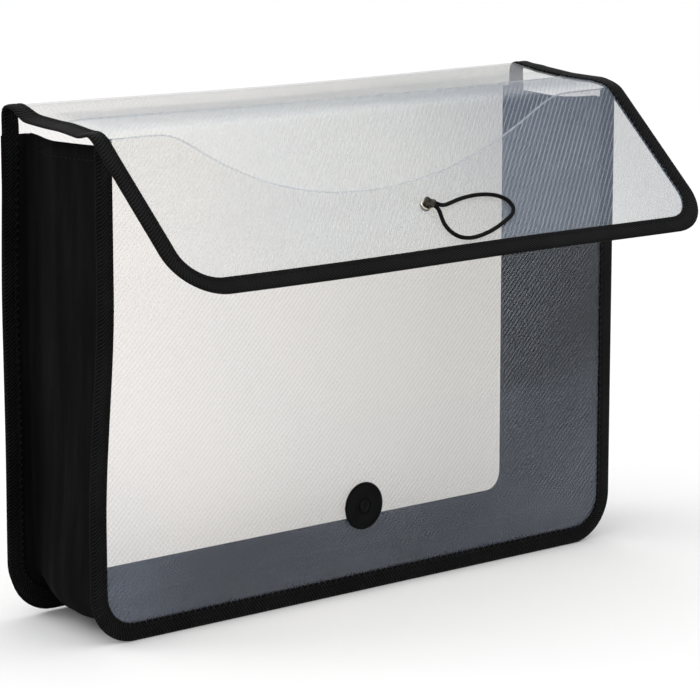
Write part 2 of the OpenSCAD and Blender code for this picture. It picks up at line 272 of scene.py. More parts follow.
def rise(x, s):
    """How far the limp sheet stands off its flat shape."""
    top = smoothstep(SPLIT - 0.02, FLAP_START, s)
    flap = smoothstep(FLAP_START, LENGTH, s)
    bulge = FLAP_BULGE * np.sin(math.pi * x / HALF_W * 1.5 + 0.6) * flap
    hang = smoothstep(SPINE_START, SPINE_START + 0.018, s) * (1 - flap)
    sag = -SPINE_SAG * np.cos(math.pi * x / HALF_W / 2) * hang
    slack = BACK_SLACK * np.sin(17 * x + 21 * s) * smoothstep(0.03, 0.1, s) * (1 - top)
    spine = smoothstep(SPINE_START, SPINE_START + 0.013, s)
    spine = spine * (1 - smoothstep(FLAP_START - 0.012, FLAP_START, s))
    end = smoothstep(HALF_W - END_REACH, HALF_W, np.abs(x)) * spine
    droop = np.where(x < 0, -LEFT_DROOP, RIGHT_LIFT) * end
    return -TWIST * top * x / HALF_W + bulge + sag + slack + droop


def sheet(x, s, h=0.0):
    """Points of the one sheet that makes the back, the top and the flap. s runs up the back,
    forward over the top and down the flap, and h is the height over the sheet's middle."""
    x, s, h = np.broadcast_arrays(*(np.asarray(v, float) for v in (x, s, h)))
    y = np.interp(s, ALONG, PROFILE[:, 0])
    z = np.interp(s, ALONG, PROFILE[:, 1])
    ny = np.interp(s, ALONG, DIRECTION[:, 1])
    nz = -np.interp(s, ALONG, DIRECTION[:, 0])
    size = np.hypot(ny, nz)
    lift = h + rise(x, s)
    left = smoothstep(-0.1, HALF_W, -x)
    high = smoothstep(0.15, 0.255, s) * (1 - smoothstep(SPLIT, FLAP_START, s))
    low = smoothstep(0.11, HALF_W, -x) * (1 - smoothstep(0, 0.09, s))
    raised = UPPER_LEFT_UP * high * left + LOWER_LEFT_UP * low
    x = x + UPPER_LEFT_IN * high * left * smoothstep(0, HALF_W, -x)
    return np.stack([x, y + ny / size * lift, z + nz / size * lift + raised], axis=-1)


FRONT_BOW = 0.0009           # outward at the front film's middle
FRONT_SLACK = 0.0006         # beside the thumb cut
LEFT_PULL = 0.0063           # of the front's upper left edge, inward


def front_bow(x, z):
    """How far the front film bows out between its tapes."""
    across = np.cos(math.pi * x / HALF_W / 2)
    up = np.sin(math.pi * np.clip(z / FRONT_H, 0, 1))
    free = smoothstep(0.16, 0.25, z) * np.exp(-((np.abs(x) - 0.1) / 0.04) ** 2)
    return FRONT_BOW * across * up + FRONT_SLACK * free


def left_pull(x, z):
    """How far the limp front panel's upper left edge has pulled in."""
    return LEFT_PULL * smoothstep(0.06, 0.175, z) * smoothstep(-0.02, HALF_W, -x)


def front(x, s, h=0.0):
    """Points of the upright front panel. s is the height, and h the distance out in front."""
    x, s, h = np.broadcast_arrays(*(np.asarray(v, float) for v in (x, s, h)))
    return np.stack([x + left_pull(x, s), -h, s], axis=-1)


# ------------------------------------------------------------------ edges, tapes and seams

def u_curve(half_w, base, top, radius, step, turns=None, flats=None):
    """A U with two rounded corners, from its top left to its top right, as rows of
    (x, s, outward x, outward s). Each corner has turns steps and the base has flats."""
    corner = base + radius
    run = int((top - corner) / step)
    rows = [(-half_w, top - (top - corner) * k / run, -1, 0) for k in range(run)]
    turns = turns or int(radius * math.pi / 2 / step)
    for k in range(turns):
        a = math.pi / 2 * k / turns
        out = (-math.cos(a), -math.sin(a))
        rows.append((radius - half_w + radius * out[0], corner + radius * out[1], *out))
    flat = half_w - radius
    flats = flats or int(2 * flat / step)
    rows += [(2 * flat * k / flats - flat, base, 0, -1) for k in range(flats // 2 + 1)]
    return np.array(rows + [(-x, s, -ox, os) for x, s, ox, os in rows[::-1] if x < -1e-9])


def from_flap_end(curve):
    """The same curve counted from the flap's free edge instead of the back's base."""
    turned = curve.copy()
    turned[:, 1] = LENGTH - curve[:, 1]
    turned[:, 3] = -curve[:, 3]
    return turned


# Height of the tape's outer face along its width, over its mean height: the seam pulls it
# down and the woven edge stands up
TAPE_LEG = [
    (0.0024, 0.0), (0.0045, 0.00004), (0.0061, 0.0), (0.0068, -0.00007), (0.0073, -0.00022),
    (0.0078, -0.00006), (0.0084, 0.00002), (0.0089, 0.00008), (0.00925, 0.00002), (0.0094, -0.0003),
]
TAPE_SLOT = 0.00004          # room between the tape and what it holds
FILM_INSET = 0.0007          # from the tape's folded edge to the film's edge


def tape_section(low, high):
    """The folded tape's outline round layers from low to high, as (distance in, height, way)."""
    middle = (low + high) / 2
    half = (high - low) / 2 + TAPE_T
    start, end = TAPE_LEG[0][0], TAPE_LEG[-1][0] - 0.0001
    ring = [(FILM_INSET, high + TAPE_SLOT, 0.0), (end, high + TAPE_SLOT, end)]
    ring += [(w, middle + half + d, w) for w, d in reversed(TAPE_LEG)]
    for k in range(1, 12):
        a = math.pi / 2 - math.pi * k / 12
        ring.append((start * (1 - math.cos(a)), middle + half * math.sin(a), start * math.sin(a)))
    ring += [(w, middle - half - d, -w) for w, d in TAPE_LEG]
    ring += [(end, low - TAPE_SLOT, -end), (FILM_INSET, low - TAPE_SLOT, 0.0)]
    return ring


def tape(name, surface, curve, layers):
    """Folded tape swept along an edge. layers(s) gives the heights that it wraps."""
    points, uvs = [], []
    way = distances(curve[:, :2])
    for (x, s, ox, os), along in zip(curve, way):
        ring = np.array(tape_section(*layers(s)))
        points.append(surface(x - ox * ring[:, 0], s - os * ring[:, 0], ring[:, 1]))
        uvs.append(np.stack([np.full(len(ring), along), ring[:, 2]], axis=-1))
    sides = points[0].shape[0]
    faces = tube_faces(len(points), sides)
    obj = mesh_object(name, np.concatenate(points), faces, np.concatenate(uvs), sharp=60)
    outward(obj)
    return obj


STITCH_PITCH = 0.0032
STITCH_LENGTH = 0.0025
STITCH_SHAPE = [(-0.5, -0.00022, 0.00014), (-0.34, 0.00004, 0.00024), (0, 0.00012, 0.00027),
                (0.34, 0.00004, 0.00024), (0.5, -0.00022, 0.00014)]
STITCH_SIDES = 6
STITCH_SINK = 0.0002         # how deep the stitches' middle line lies in the tape


def stitch_row(points, faces, place, start, end):
    """Adds separate thread stitches between two distances along a seam. place(d) gives the
    point, the way along, the way across and the way up there."""
    count = int((end - start) / STITCH_PITCH)
    for n in range(count):
        middle = start + (n + 0.5) * STITCH_PITCH
        first = len(points)
        for share, lift, radius in STITCH_SHAPE:
            at, across, up = place(middle + share * STITCH_LENGTH)
            centre = at + up * lift
            for k in range(STITCH_SIDES):
                a = 2 * math.pi * k / STITCH_SIDES
                points.append(centre + radius * (math.cos(a) * across + math.sin(a) * up))
        faces += tube_faces(len(STITCH_SHAPE), STITCH_SIDES, first)


def edge_seam(name, surface, curve, layers, bare_ends):
    """The seam along a tape, on both of its faces."""
    line = curve[:, :2] - curve[:, 2:] * SEAM_W
    way = distances(line)
    points, faces = [], []
    for side in (1, -1):

        def place(d):
            x, s = (np.interp(d, way, line[:, i]) for i in (0, 1))
            ox, os = (np.interp(d, way, curve[:, i]) for i in (2, 3))
            low, high = layers(s)
            face = high if side > 0 else -low
            at = surface(x, s, side * (face + TAPE_T - STITCH_SINK))
            up = side * (surface(x, s, 0.001) - surface(x, s, -0.001))
            dx, ds = ox * 0.0005, os * 0.0005
            inward = surface(x - dx, s - ds) - surface(x + dx, s + ds)
            return at, inward / np.linalg.norm(inward), up / np.linalg.norm(up)

        stitch_row(points, faces, place, bare_ends, way[-1] - bare_ends)
    return mesh_object(name, points, faces, sharp=80)


def front_layers(s):
    return -(FLANGE_FRONT_Y + FABRIC_T / 2), FILM_HALF


def back_layers(s):
    """The back tape holds the gusset's flange too, up to the gusset's top edge."""
    flange = FABRIC_T * (1 - float(smoothstep(GUSSET_H, GUSSET_H + 0.006, s)))
    return -FILM_HALF - flange, FILM_HALF


def single_layer(s):
    return -FILM_HALF, FILM_HALF


# ------------------------------------------------------------------ films

def half_width(s, radius):
    """Half of a sheet's width at a distance from its rounded end."""
    fall = np.clip(radius - np.asarray(s, float), 0, radius)
    return HALF_W - radius + np.sqrt(np.maximum(radius ** 2 - fall ** 2, 0)) - FILM_INSET


LEAST_STEP = 0.0003          # between a film's rows of points


def sheet_film(name, low, high, radius, end):
    """One of the two parts of the continuous film, between two distances along it. Its corners
    are rounded at the sheet's own end, 0 or LENGTH."""
    turn = [radius * (1 - math.cos(a)) for a in np.linspace(0, math.pi / 2, 14)]
    rows = [abs(end - max(v, FILM_INSET)) for v in turn]
    rows += [s for s in ALONG if low + LEAST_STEP < s < high - LEAST_STEP]
    kept = [low]
    for s in sorted(rows + [high]):
        if s - kept[-1] > LEAST_STEP:
            kept.append(s)
    s = np.array(kept)[:, None]
    x = np.linspace(-1, 1, 57)[None, :] * half_width(np.abs(end - s), radius)
    s = np.broadcast_to(s, x.shape)
    uvs = np.stack([x, s], axis=-1)
    return closed_film(name, sheet(x, s, FILM_HALF), sheet(x, s, -FILM_HALF), uvs)


CUT_RIM = 0.0008             # width of the whitened rim along the front film's cut top edge


def front_film(name):
    """The front panel's film, with the thumb cut in its top edge, whose ends are softened."""
    corner = CORNER_R - FILM_INSET
    reach = HALF_W - FILM_INSET
    turn = [reach - corner + corner * math.sin(a) for a in np.linspace(0, math.pi / 2, 14)]
    flat = list(np.linspace(0, reach - corner, 40))[:-1]
    right = flat + turn
    x = np.array([-v for v in reversed(right[1:])] + right)
    fall = np.clip(np.abs(x) - (reach - corner), 0, corner)
    low = FILM_INSET + corner - np.sqrt(corner ** 2 - fall ** 2)
    scoop_r = (SCOOP_HALF_W ** 2 + SCOOP_DEPTH ** 2) / (2 * SCOOP_DEPTH)
    centre = FRONT_H - SCOOP_DEPTH + scoop_r
    arc = centre - np.sqrt(np.maximum(scoop_r ** 2 - x ** 2, 0))
    arc = np.where(np.abs(x) > SCOOP_HALF_W + 0.03, FRONT_H + 0.05, arc)
    soft = 0.003
    high = -soft * np.log(np.exp(-arc / soft) + np.exp(-FRONT_H / soft))
    high = np.minimum(high, FRONT_H)
    t = np.linspace(0, 1, 49)[:, None]
    z = np.concatenate([low + t * (high - CUT_RIM - low), high[None, :]])
    x = np.broadcast_to(x, z.shape)
    bow = front_bow(x, z)
    uvs = np.stack([x, -z], axis=-1)
    return closed_film(
        name, front(x, z, FILM_HALF + bow), front(x, z, bow - FILM_HALF), uvs, bright_rows=1)


def cut_hole(obj, centre, axis):
    """Cuts a round hole through a film."""
    turn = Vector((0, 0, 1)).rotation_difference(Vector(axis)).to_matrix().to_4x4()
    bpy.ops.mesh.primitive_cylinder_add(vertices=40, radius=HOLE_R, depth=0.006)
    cutter = bpy.context.object
    cutter.matrix_world = Matrix.Translation(Vector(centre)) @ turn
    bpy.context.view_layer.update()
    boolean = obj.modifiers.new("hole", "BOOLEAN")
    boolean.object = cutter
    boolean.operation = "DIFFERENCE"
    shown = obj.evaluated_get(bpy.context.evaluated_depsgraph_get())
    made = bpy.data.meshes.new_from_object(shown)
    obj.modifiers.clear()
    obj.data = made
    bpy.data.objects.remove(cutter)


# ------------------------------------------------------------------ gusset

GUSSET_BACK_INSET = 0.0166   # the wall's distance inside the outer edges, at the back panel
GUSSET_FRONT_OUT = 0.0060    # how much nearer to the edges it is at the front panel
GUSSET_FOOT_OUT = 0.0048     # how much more it bulges round its lower left corner
GUSSET_HALF_W = HALF_W - GUSSET_BACK_INSET
GUSSET_BASE = GUSSET_BACK_INSET
GUSSET_R = 0.010
FLANGE_REACH = GUSSET_BACK_INSET - 0.0010
GUSSET_STEP = 0.005          # between its rows of points
FOLD_R = 0.0016
WALL_CREASE = 0.0005         # inward, along the wall's middle
WALL_FOLDS = 0.0003
WALL_WANDER = 0.0006
MOUTH_SAG_LEFT = 0.0010      # of the gusset's two top edges
MOUTH_SAG_RIGHT = 0.0030


def wall_bow(x, y, z):
    """How far the gusset's wall stands in from a straight wall at its back inset: it bulges
    out towards the front, with a faint crease along its middle and soft folds."""
    depth = np.clip((FLANGE_BACK_Y - FOLD_R - y) / (FLANGE_BACK_Y - FLANGE_FRONT_Y), 0, 1)
    free = np.sin(math.pi * depth)
    crease = WALL_CREASE * np.exp(-((y - 0.0365) / 0.004) ** 2)
    folds = WALL_FOLDS * np.sin(2 * math.pi * y / 0.031 + 2.2 * np.sin(9 * z + 6 * x))
    wander = WALL_WANDER * np.sin(31 * z + 14 * x + 50 * y)
    corner = smoothstep(0.09, 0.155, -x) * (1 - smoothstep(0.02, 0.08, z))
    out = GUSSET_FOOT_OUT * corner * free + GUSSET_FRONT_OUT * smoothstep(0, 0.42, depth)
    return free * (crease + folds + wander) - out


def gusset_profile():
    """The strip's own section from its front flange across its depth to its back flange, as
    (distance out from the wall, y)."""
    turn = [(FOLD_R * (1 - math.sin(a)), FLANGE_FRONT_Y + FOLD_R * (1 - math.cos(a)))
            for a in np.linspace(0, math.pi / 2, 5)]
    inner = np.linspace(FLANGE_FRONT_Y + FOLD_R, FLANGE_BACK_Y - FOLD_R, 33)[1:-1]
    flanges = []
    for reach in (FLANGE_REACH - GUSSET_FRONT_OUT, FLANGE_REACH):
        flanges.append([(d, FLANGE_FRONT_Y) for d in np.linspace(reach, FOLD_R, 6)[:-1]] + turn)
    back_part = [(d, FLANGE_FRONT_Y + FLANGE_BACK_Y - y) for d, y in reversed(flanges[1])]
    return np.array(flanges[0] + [(0, y) for y in inner] + back_part)


def gusset_pull(x, y, z):
    """The gusset follows the front panel's pulled edge, less and less towards the back."""
    return left_pull(x, z) * (1 - smoothstep(0.0, 0.06, y))


def gusset_top(x, y, z):
    """The open top edge sags a little between the two panels, most on the right."""
    near = smoothstep(GUSSET_H - 0.04, GUSSET_H, z)
    share = np.clip((y - 0.004) / 0.064, 0, 1)
    sag = np.where(x > 0, MOUTH_SAG_RIGHT, MOUTH_SAG_LEFT)
    return z - sag * near * np.sin(math.pi * share)


def wall_points(path, profile, inward):
    """Points of the gusset's wall, moved in by a distance."""
    x, z, ox, oz = (path[:, i][:, None] for i in range(4))
    reach, y = profile[:, 0][None, :], profile[:, 1][None, :]
    out = reach - wall_bow(x, y, z) - inward
    height = gusset_top(x, y, z)
    across = x + ox * out + gusset_pull(x, y, z)
    return np.stack([across, np.broadcast_to(y, out.shape), height + oz * out], axis=-1)


def make_gusset():
    path = u_curve(GUSSET_HALF_W, GUSSET_BASE, GUSSET_H, GUSSET_R, GUSSET_STEP, turns=10,
                   flats=58)
    profile = gusset_profile()
    points = wall_points(path, profile, 0)
    rows, columns = points.shape[:2]
    way = distances(path[:, :2])
    depth = distances(profile)
    uvs = np.stack(np.meshgrid(depth, way), axis=-1)
    obj = mesh_object("gusset_cloth", points.reshape(-1, 3), grid_faces(rows, columns),
                      uvs.reshape(-1, 2), sharp=80)
    solid = obj.modifiers.new("thickness", "SOLIDIFY")
    solid.thickness = FABRIC_T
    solid.offset = 0
    return obj, (float(depth[-1]), float(way[-1]))


HEM_GAP = 0.0006             # between the wall's and the hem's middles
HEM_START_Y = 0.0030
HEM_END_Y = 0.0695


def make_hem(name, side):
    """The gusset's top edge folded down inside its wall, as a closed strip with a round fold."""
    ys = np.linspace(HEM_START_Y, HEM_END_Y, 30)
    drop = np.linspace(HEM_H, 0, 8)
    section = [(HEM_GAP + FABRIC_T / 2, -d) for d in drop]
    section += [(HEM_GAP / 2 + (HEM_GAP + FABRIC_T) / 2 * math.cos(a), 0.0004 * math.sin(a))
                for a in np.linspace(0.4, math.pi - 0.4, 5)]
    section += [(HEM_GAP - FABRIC_T / 2 + 0.0002, -d) for d in reversed(drop[:-1])]
    points, uvs = [], []
    for y in ys:
        for inward, dz in section:
            z = GUSSET_H + dz
            bow = float(wall_bow(side * GUSSET_HALF_W, y, z))
            x = side * (GUSSET_HALF_W - bow - inward)
            points.append((x + float(gusset_pull(x, y, z)), y, float(gusset_top(x, y, z))))
            uvs.append((y, dz))
    obj = mesh_object(name, points, tube_faces(len(ys), len(section)), uvs, sharp=80)
    outward(obj)
    return obj


def make_hem_seam(name):
    """The seams that hold the two hems, on the outside of the walls."""
    points, faces = [], []
    for side in (-1, 1):

        def place(y):
            z = GUSSET_H - HEM_H + 0.002
            bow = float(wall_bow(side * GUSSET_HALF_W, y, z))
            x = side * (GUSSET_HALF_W - bow + FABRIC_T / 2)
            at = np.array([x + float(gusset_pull(x, y, z)), y, float(gusset_top(x, y, z))])
            return at, np.array([0, 0, 1.0]), np.array([float(side), 0, 0])

        stitch_row(points, faces, place, HEM_START_Y + 0.001, HEM_END_Y - 0.001)
    return mesh_object(name, points, faces, sharp=80)


# ------------------------------------------------------------------ turned pieces

def lathe(parts, name, sides=64):
    """Turned pieces joined in one mesh. Each part is (profile, centre, axis), with the profile
    as (radius, height along the axis); a profile whose ends aren't on the axis closes in a ring."""
    points, faces = [], []
    for profile, centre, axis in parts:
        axis = Vector(axis).normalized()
        side = axis.orthogonal().normalized()
        up = axis.cross(side)
        on_axis = profile[0][0] < 1e-9
        first = len(points)
        for k in range(sides):
            a = 2 * math.pi * k / sides
            way = side * math.cos(a) + up * math.sin(a)
            for radius, height in profile:
                points.append(Vector(centre) + way * max(radius, 1e-5) + axis * height)
        count = len(profile)
        for k in range(sides):
            n = (k + 1) % sides
            for i in range(count if not on_axis else count - 1):
                j = (i + 1) % count
                faces.append((first + k * count + i, first + n * count + i,
                              first + n * count + j, first + k * count + j))
        if on_axis:
            faces.append(tuple(first + k * count for k in reversed(range(sides))))
            faces.append(tuple(first + k * count + count - 1 for k in range(sides)))
    obj = mesh_object(name, points, faces, sharp=35)
    outward(obj)
    return obj


def rounded(profile, radius, steps=4):
    """A profile with its inner corners rounded by up to a radius."""
    made = [profile[0]]
    for back, here, ahead in zip(profile, profile[1:], profile[2:]):
        here = np.array(here)
        to_back, to_ahead = np.array(back) - here, np.array(ahead) - here
        size = min(radius, 0.45 * np.linalg.norm(to_back), 0.45 * np.linalg.norm(to_ahead))
        first = here + to_back / np.linalg.norm(to_back) * size
        last = here + to_ahead / np.linalg.norm(to_ahead) * size
        made += [tuple(curve_point(first, here, last, k / steps)) for k in range(steps + 1)]
    return made + [profile[-1]]


FRONT_FACE = Vector((BUTTON.x, -FILM_HALF, BUTTON.z))
FORWARD = Vector((0, -1, 0))
BUTTON_R = 0.0125
BUTTON_TOP = 0.0032
RIVET_HEAD_Z = 0.0024


def make_button():
    profile = rounded([
        (0.00200, 0.0002), (0.0045, 0.0001), (0.0041, 0.0008), (0.0044, 0.0015), (0.0118, 0.0015),
        (BUTTON_R, 0.0021), (BUTTON_R, 0.0027), (0.0119, BUTTON_TOP), (0.0107, BUTTON_TOP),
        (0.0103, 0.0030), (0.0060, 0.0029), (0.0056, 0.0031), (0.0047, 0.0031), (0.0042, 0.0029),
        (0.0040, 0.0023), (0.00200, 0.0023),
    ], 0.0004)
    return lathe([(profile, FRONT_FACE, FORWARD)], "button", sides=96)


def make_rivet():
    profile = rounded([
        (0, -0.0023), (0.0028, -0.0023), (0.0030, -0.00175), (0.0029, -0.00165), (0.0019, -0.00165),
        (0.0019, RIVET_HEAD_Z), (0.0034, RIVET_HEAD_Z), (0.0034, 0.0028), (0.0027, 0.0032),
        (0.0013, 0.0031), (0.0009, 0.0025), (0, 0.0024),
    ], 0.0003)
    return lathe([(profile, FRONT_FACE, FORWARD)], "rivet", sides=48)


def make_washer():
    profile = rounded([
        (0.0020, -0.00085), (0.0046, -0.00085), (0.0050, -0.0011), (0.0050, -0.0014),
        (0.0045, -0.00158), (0.0034, -0.00158), (0.0031, -0.0015), (0.0020, -0.0015),
    ], 0.0002)
    return lathe([(profile, FRONT_FACE, FORWARD)], "washer", sides=48)


def make_eyelet():
    """Two rolled flanges and the barrel between them."""
    ring = []
    for k in range(13):
        a = math.pi - math.pi * k / 12
        ring.append((0.0023 + 0.00068 * math.cos(a), 0.0005 + 0.00045 * math.sin(a)))
    low = [(r, -h) for r, h in reversed(ring)]
    profile = ring + [(0.0021, 0.00042), (0.0021, -0.00042)] + low
    return lathe([(profile, EYELET, FLAP_OUT)], "eyelet", sides=64)


def make_crimp():
    """The gathered collar round both ends of the elastic, with its stem through the eyelet."""
    across = Vector((1, 0, 0)) * math.cos(CRIMP_YAW) - FLAP_DOWN * math.sin(CRIMP_YAW)
    collar = rounded([
        (0, -0.0022), (0.0017, -0.0022), (0.0022, -0.0015), (0.0021, -0.0004), (0.0018, 0.0003),
        (0.0018, 0.0012), (0.0021, 0.0018), (0.0022, 0.0028), (0.0019, 0.0034), (0, 0.0034),
    ], 0.0004)
    stem = rounded([
        (0, -0.0018), (0.0023, -0.0018), (0.0025, -0.0014), (0.0024, -0.0010), (0.00155, -0.0010),
        (0.00155, 0.0016), (0.0010, CRIMP_LIFT - 0.0004), (0, CRIMP_LIFT - 0.0004),
    ], 0.0002)
    parts = [(collar, EYELET + FLAP_OUT * CRIMP_LIFT, across), (stem, EYELET, FLAP_OUT)]
    return lathe(parts, "crimp", sides=32)


# ------------------------------------------------------------------ elastic

def smooth_route(points, pieces):
    """A Catmull-Rom curve through the points."""
    made = []
    padded = [points[0]] + list(points) + [points[-1]]
    for a, b, c, d in zip(padded, padded[1:], padded[2:], padded[3:]):
        a, b, c, d = (np.array(v, float) for v in (a, b, c, d))
        for k in range(pieces):
            t = k / pieces
            made.append(0.5 * (2 * b + (c - a) * t + (2 * a - 5 * b + 4 * c - d) * t ** 2
                               + (3 * b - a - 3 * c + d) * t ** 3))
    return np.array(made + [np.array(points[-1], float)])


def make_elastic():
    """The elastic as a tube along its route. Returns it with its centre line."""
    route = smooth_route(ELASTIC_ROUTE, 4)
    line = [Vector(sheet(x, FLAP_START + v, h)) for x, v, h in route]
    sides = 14
    points, uvs = [], []
    along = 0.0
    for i, centre in enumerate(line):
        ahead = (line[min(i + 1, len(line) - 1)] - line[max(i - 1, 0)]).normalized()
        side = FLAP_OUT.cross(ahead).normalized()
        up = ahead.cross(side)
        along += (centre - line[max(i - 1, 0)]).length
        for k in range(sides):
            a = 2 * math.pi * k / sides
            points.append(centre + (side * math.cos(a) + up * math.sin(a)) * ELASTIC_D / 2)
            uvs.append((along, k / sides))
    obj = mesh_object("elastic_cord", points, tube_faces(len(line), sides), uvs, sharp=80)
    outward(obj)
    return obj, line, along


# ------------------------------------------------------------------ materials

class Shader:
    """Short ways to make and join a material's nodes."""

    def __init__(self, name):
        self.material = bpy.data.materials.new(name)
        self.material.use_nodes = True
        self.tree = self.material.node_tree
        self.tree.nodes.clear()
        self.output = self.tree.nodes.new("ShaderNodeOutputMaterial")

    def node(self, kind, inputs=None, **settings):
        made = self.tree.nodes.new("ShaderNode" + kind)
        for key, value in settings.items():
            setattr(made, key, value)
        for key, value in (inputs or {}).items():
            if isinstance(value, bpy.types.NodeSocket):
                self.tree.links.new(value, made.inputs[key])
            else:
                made.inputs[key].default_value = value
        return made

    def math(self, operation, a, b=0.0, c=0.0):
        return self.node("Math", {0: a, 1: b, 2: c}, operation=operation).outputs[0]

    def sine(self, distance, pitch):
        """A wave of one pitch along a distance."""
        return self.math("SINE", self.math("MULTIPLY", distance, 2 * math.pi / pitch))

    def ramp(self, value, low, high, to_low=0.0, to_high=1.0):
        """Smooth step of a value, mapped to a range."""
        made = self.node("MapRange", {0: value, 1: low, 2: high, 3: to_low, 4: to_high},
                         interpolation_type="SMOOTHSTEP")
        return made.outputs[0]

    def noise(self, scale, detail=2.0, vector=None, roughness=0.5):
        inputs = {"Scale": scale, "Detail": detail, "Roughness": roughness}
        inputs["Vector"] = vector or self.node("TexCoord").outputs["Object"]
        return self.node("TexNoise", inputs).outputs["Fac"]

    def uv(self):
        made = self.node("SeparateXYZ", {0: self.node("UVMap", uv_map="along").outputs[0]})
        return made.outputs[0], made.outputs[1]

    def colour(self, share, dark, light):
        made = self.node("Mix", {0: share, 6: (*dark, 1), 7: (*light, 1)}, data_type="RGBA")
        return made.outputs[2]

    def bump(self, height, distance, strength=1.0, under=None):
        inputs = {"Height": height, "Distance": distance, "Strength": strength}
        if under is not None:
            inputs["Normal"] = under
        return self.node("Bump", inputs).outputs[0]

    def finish(self, surface):
        self.tree.links.new(surface.outputs[0], self.output.inputs["Surface"])
        return self.material

    def principled(self, colour, roughness, normal, **inputs):
        inputs = {key.replace("_", " "): value for key, value in inputs.items()}
        inputs.update({"Base Color": colour, "Roughness": roughness, "Normal": normal})
        return self.finish(self.node("BsdfPrincipled", inputs))


RIB_PITCH = 0.00225          # between the film's fine diagonal ribs
HAZE_BETWEEN = (0.56, 0.71, 1.0)
HAZE_ON_RIBS = (0.86, 0.90, 0.97)


def film_material(name, tints, painted_shade_across, haze_between, haze_on_ribs, painted_reflection_low_left=0.0,
                  haze_in_patches=0.0, painted_shade_below=None):
    """Clear ribbed film: light passes straight on, a little is scattered, and the ribs and
    the surface's gloss catch it. Its clear tint turns a little greyer between two distances
    across, up to a distance along it: painted shade, for the light seen through it being
    dimmer to the right."""
    shader = Shader(name)
    across, along = shader.uv()
    phase = shader.math("ADD", across, along)
    phase = shader.math("MULTIPLY", phase, 2 * math.pi / (math.sqrt(2) * RIB_PITCH))
    wave = shader.math("COSINE", phase)
    rib = shader.ramp(wave, 0.45, 0.98)
    cloud = shader.noise(9.0, 3.0)
    clearness = shader.ramp(shader.noise(6.0, 1.0), 0.35, 0.65, 0.6, 1.2)
    ribs = shader.math("MULTIPLY", rib, clearness)
    haze = shader.math("MULTIPLY_ADD", ribs, haze_on_ribs, haze_between)
    # Painted reflection: extra haze makes the film lighter at its lower left.
    painted_reflection = shader.ramp(across, -0.17, -0.09, painted_reflection_low_left, 0.0)
    painted_reflection = shader.math("MULTIPLY", painted_reflection, shader.ramp(along, -0.14, -0.05))
    haze = shader.math("ADD", haze, painted_reflection)
    patch = shader.ramp(shader.noise(5.5, 0.0), 0.49, 0.53, haze_in_patches, 0.0)
    haze = shader.math("ADD", haze, patch)
    haze = shader.math("MULTIPLY", haze, shader.ramp(cloud, 0.25, 0.8, 0.8, 1.25))
    waviness = shader.bump(shader.noise(14.0, 2.0), 0.004, 0.35)
    normal = shader.bump(rib, 0.00006, 0.8, under=waviness)
    # Painted shade: the clear tint is made greyer across the film, towards the right.
    painted_shade = shader.ramp(across, *painted_shade_across)
    if painted_shade_below:
        below = shader.ramp(along, painted_shade_below - 0.008, painted_shade_below + 0.004, 1.0, 0.0)
        painted_shade = shader.math("MULTIPLY", painted_shade, below)
    tint = shader.colour(painted_shade, *tints)
    clear = shader.node("BsdfTransparent", {"Color": tint})
    frost = shader.colour(rib, HAZE_BETWEEN, HAZE_ON_RIBS)
    lit = shader.node("BsdfDiffuse", {"Color": frost, "Normal": waviness})
    through = shader.node("BsdfTranslucent", {"Color": frost, "Normal": waviness})
    scatter = shader.node("MixShader", {0: 0.45, 1: lit.outputs[0], 2: through.outputs[0]})
    body = shader.node("MixShader", {0: haze, 1: clear.outputs[0], 2: scatter.outputs[0]})
    gloss = shader.node("BsdfGlossy", {"Color": (0.93, 0.96, 1.0, 1), "Roughness": 0.12,
                                       "Normal": normal})
    facing = shader.node("LayerWeight", {"Blend": 0.5}).outputs["Facing"]
    edge = shader.math("MULTIPLY_ADD", shader.math("POWER", facing, 5.0), 0.75, 0.013)
    surface = shader.node("MixShader", {0: edge, 1: body.outputs[0], 2: gloss.outputs[0]})
    return shader.finish(surface)


def film_edge_material():
    """The film's cut edge, which gathers light and looks whiter than its faces."""
    shader = Shader("film_edge")
    clear = shader.node("BsdfTransparent", {"Color": (0.92, 0.92, 0.92, 1)})
    mark = shader.ramp(shader.noise(300.0, 2.0), 0.3, 0.7, 0.45, 0.8)
    lit = shader.node("BsdfTranslucent", {"Color": (0.80, 0.83, 0.86, 1)})
    matt = shader.node("BsdfDiffuse", {"Color": (0.80, 0.83, 0.86, 1)})
    frost = shader.node("MixShader", {0: 0.5, 1: lit.outputs[0], 2: matt.outputs[0]})
    surface = shader.node("MixShader", {0: mark, 1: clear.outputs[0], 2: frost.outputs[0]})
    return shader.finish(surface)


TWILL_PITCH = 0.0019         # of the tape's diagonal threads, along it
TWILL_SLANT = 0.0024         # and across it
CORD_EDGE = (0.0080, 0.0088) # where the corded inner edge starts, in from the folded edge


